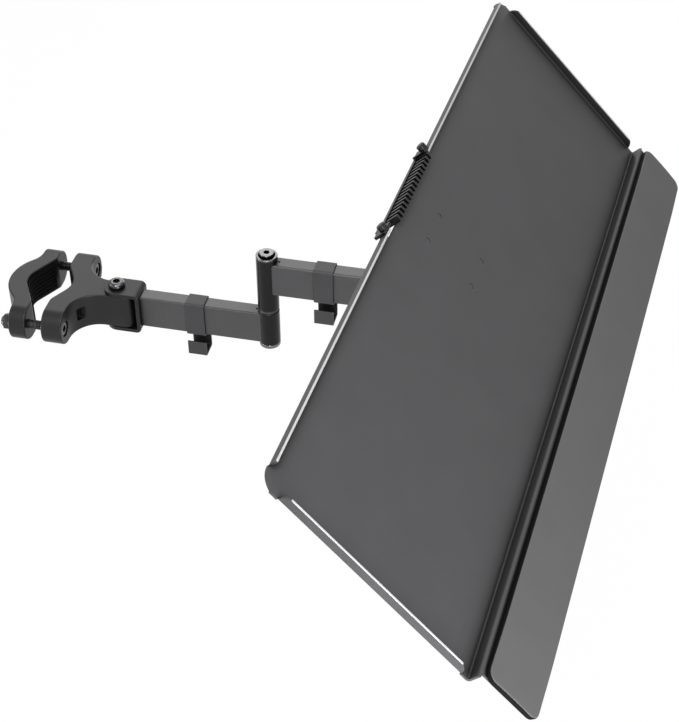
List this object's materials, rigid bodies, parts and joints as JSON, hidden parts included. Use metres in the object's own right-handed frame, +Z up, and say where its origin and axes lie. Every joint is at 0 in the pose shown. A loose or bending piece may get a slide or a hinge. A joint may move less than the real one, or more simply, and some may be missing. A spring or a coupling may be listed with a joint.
{
  "type": "pole mounted keyboard tray",
  "caption": "Keyboard tray on a two-link arm that clamps to a round pole, with a tilting head, cable clips, a cable comb and a padded palm rest.",
  "frame": {"origin": "on the pole's axis, level with the middle of the clamp jaws and of the first arm", "axes": "+Z up the pole, +X from the pole along the straightened arms to the tray, +Y towards the tray's far end"},
  "size_m": [0.5826, 0.7148, 0.2042],
  "materials": {
    "jaw_coat": "dark grey powder coat on a casting",
    "arm_coat": "dark grey fine powder coat",
    "tray_coat": "dark grey matt powder coat",
    "dark_steel": "blackened steel",
    "bright_steel": "zinc plated",
    "bush_plastic": "matt",
    "washer_plastic": "satin",
    "clip_plastic": "fine texture",
    "liner_rubber": "matt, ribbed",
    "pad_rubber": "soft satin skin"
  },
  "bodies": {
    "front_jaw_body": {"front_jaw": "jaw_coat", "front_jaw_liner": "liner_rubber", "clamp_bolts": "dark_steel", "clevis_bush": "bush_plastic"},
    "rear_jaw_body": {"rear_jaw": "jaw_coat", "rear_jaw_liner": "liner_rubber", "clamp_washers": "dark_steel", "clamp_nuts": "dark_steel"},
    "first_arm": {"clevis_bracket": "arm_coat", "clevis_washers": "bush_plastic", "clevis_bolt": "dark_steel", "clevis_nut": "dark_steel", "first_arm_tube": "arm_coat", "cable_clip_1": "clip_plastic", "elbow_lower_barrel": "arm_coat", "elbow_lower_bushes": "bush_plastic", "elbow_thrust_washer": "washer_plastic"},
    "second_arm": {"elbow_upper_barrel": "arm_coat", "elbow_upper_bushes": "bush_plastic", "elbow_ring": "bright_steel", "elbow_bolt": "bright_steel", "elbow_cap_nut": "arm_coat", "second_arm_tube": "arm_coat", "cable_clip_2": "clip_plastic", "head_barrel": "arm_coat", "head_bushes": "bush_plastic"},
    "swivel_head": {"head_thrust_washer": "washer_plastic", "tilt_knuckle": "jaw_coat", "head_nut_washer": "dark_steel", "head_nut": "dark_steel", "tilt_bushes": "bush_plastic"},
    "tray": {"tilt_washers": "washer_plastic", "tilt_bracket": "tray_coat", "tilt_bolt": "dark_steel", "tilt_nut": "dark_steel", "bracket_screws": "dark_steel", "clinch_nuts": "bright_steel", "tray_pan": "tray_coat", "cable_comb": "clip_plastic", "comb_screws": "clip_plastic", "comb_nuts": "bright_steel", "palm_rest_pad": "pad_rubber"}
  },
  "joints": [
    {"name": "clamp_slide", "type": "slide", "parent": "front_jaw_body", "child": "rear_jaw_body", "axis": [-1, 0, 0], "range_m": [-0.006, 0.004]},
    {"name": "clevis_pivot", "type": "hinge", "parent": "front_jaw_body", "child": "first_arm", "pos_m": [0.0635, 0, 0], "axis": [0, 0, 1], "range_deg": [-75, 75]},
    {"name": "elbow_pivot", "type": "hinge", "parent": "first_arm", "child": "second_arm", "pos_m": [0.2035, 0, 0], "axis": [0, 0, 1], "range_deg": [-70, 70]},
    {"name": "head_swivel", "type": "hinge", "parent": "second_arm", "child": "swivel_head", "pos_m": [0.3435, 0, 0.0545], "axis": [0, 0, 1], "range_deg": [-30, 30]},
    {"name": "tray_tilt", "type": "hinge", "parent": "swivel_head", "child": "tray", "pos_m": [0.3435, 0, 0.0845], "axis": [0.0793, 0.9968, 0], "range_deg": [-60, 30]}
  ]
}
